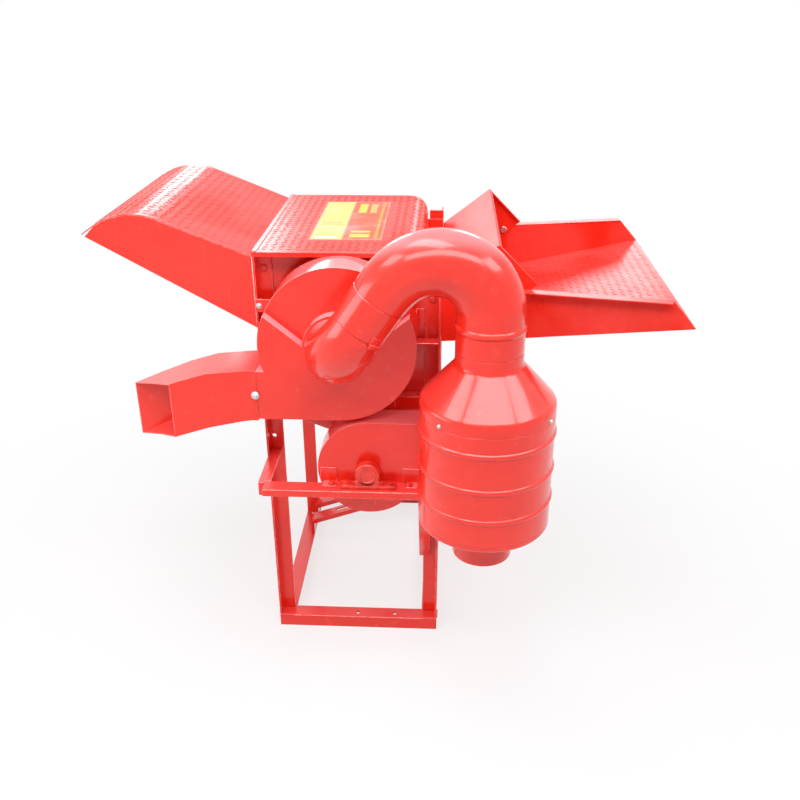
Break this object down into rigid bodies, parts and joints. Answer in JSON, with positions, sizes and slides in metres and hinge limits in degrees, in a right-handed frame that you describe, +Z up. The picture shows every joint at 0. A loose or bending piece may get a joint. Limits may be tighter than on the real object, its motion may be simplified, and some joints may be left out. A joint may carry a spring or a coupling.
{
  "type": "threshing machine",
  "caption": "Belt-driven threshing machine on an angle iron stand, with a feed tray, straw hood, chaff fan, suction arch and upright grain separator.",
  "frame": {"origin": "on the floor at the middle of the front base rail's lower edge", "axes": "+X towards the feed tray, +Y towards the belt side, +Z up; the fan and separator are at -Y"},
  "size_m": [1.151, 0.859, 0.988],
  "materials": {
    "red_paint": "glossy",
    "tread_plate_paint": "glossy, raised tread pattern",
    "bare_steel": "bare",
    "belt_rubber": "matte"
  },
  "bodies": {
    "machine": {"front_left_leg": "red_paint", "front_right_leg": "red_paint", "rear_left_leg": "red_paint", "rear_right_leg": "red_paint", "front_base_rail": "red_paint", "rear_base_rail": "red_paint", "left_base_rail": "red_paint", "right_base_rail": "red_paint", "motor_rail_front": "red_paint", "motor_rail_rear": "red_paint", "motor_rail_stay": "red_paint", "chamber_rail_front": "red_paint", "chamber_rail_rear": "red_paint", "bearing_rail_front": "red_paint", "bearing_rail_rear": "red_paint", "bearing_arm": "red_paint", "bearing_strut": "red_paint", "hinge_rail": "red_paint", "drum_bearing_rails": "red_paint", "front_side_plate": "red_paint", "rear_side_plate": "red_paint", "chamber_end_walls": "red_paint", "concave_ribs": "bare_steel", "concave_rods": "bare_steel", "grain_hopper": "red_paint", "hinge_pins": "bare_steel", "straw_hood_top": "tread_plate_paint", "straw_hood_front_side": "red_paint", "straw_hood_rear_side": "red_paint", "feed_mouth": "red_paint", "fan_scroll": "red_paint", "fan_back_plate": "red_paint", "fan_face": "red_paint", "fan_outlet": "red_paint", "inlet_elbow": "red_paint", "suction_arch": "red_paint", "separator_cone": "red_paint", "separator_drum": "red_paint", "separator_funnel": "red_paint", "thrower_casing": "red_paint", "thrower_front_plate": "red_paint", "casing_clips": "red_paint", "thrower_bearings": "red_paint", "drum_bearings": "red_paint", "drive_belt": "belt_rubber", "painted_bolts": "red_paint", "bright_bolts": "bare_steel"},
    "drum_rotor": {"drum_shaft": "bare_steel", "drum_discs": "red_paint", "beater_bars": "red_paint", "fan_impeller": "red_paint", "drum_pulley": "bare_steel"},
    "thrower_rotor": {"thrower_shaft": "bare_steel", "auger_flight": "bare_steel", "thrower_paddles": "red_paint", "thrower_pulley": "bare_steel"},
    "cover": {"top_cover": "tread_plate_paint", "cover_hinge_leaves": "red_paint"},
    "tray": {"feed_tray": "tread_plate_paint"},
    "air_gate": {"air_gate_sleeve": "red_paint"}
  },
  "joints": [
    {"name": "drum_spin", "type": "hinge", "parent": "machine", "child": "drum_rotor", "pos_m": [-0.012, 0.238, 0.736], "axis": [0, 1, 0], "continuous": true},
    {"name": "thrower_spin", "type": "hinge", "parent": "machine", "child": "thrower_rotor", "pos_m": [0.042, 0.238, 0.482], "axis": [0, 1, 0], "continuous": true},
    {"name": "cover_lift", "type": "hinge", "parent": "machine", "child": "cover", "pos_m": [0, 0.4738, 0.862], "axis": [-1, 0, 0], "range_deg": [0, 100]},
    {"name": "tray_fold", "type": "hinge", "parent": "machine", "child": "tray", "pos_m": [0.322, 0.238, 0.812], "axis": [0, -1, 0], "range_deg": [0, 80]},
    {"name": "air_gate_turn", "type": "hinge", "parent": "machine", "child": "air_gate", "pos_m": [0.05846, -0.192, 0.84046], "axis": [0.5592, 0, 0.829], "range_deg": [0, 40]}
  ],
  "couplings": [
    {"joint": "thrower_spin", "follows": "drum_spin", "ratio": 1.6667}
  ]
}
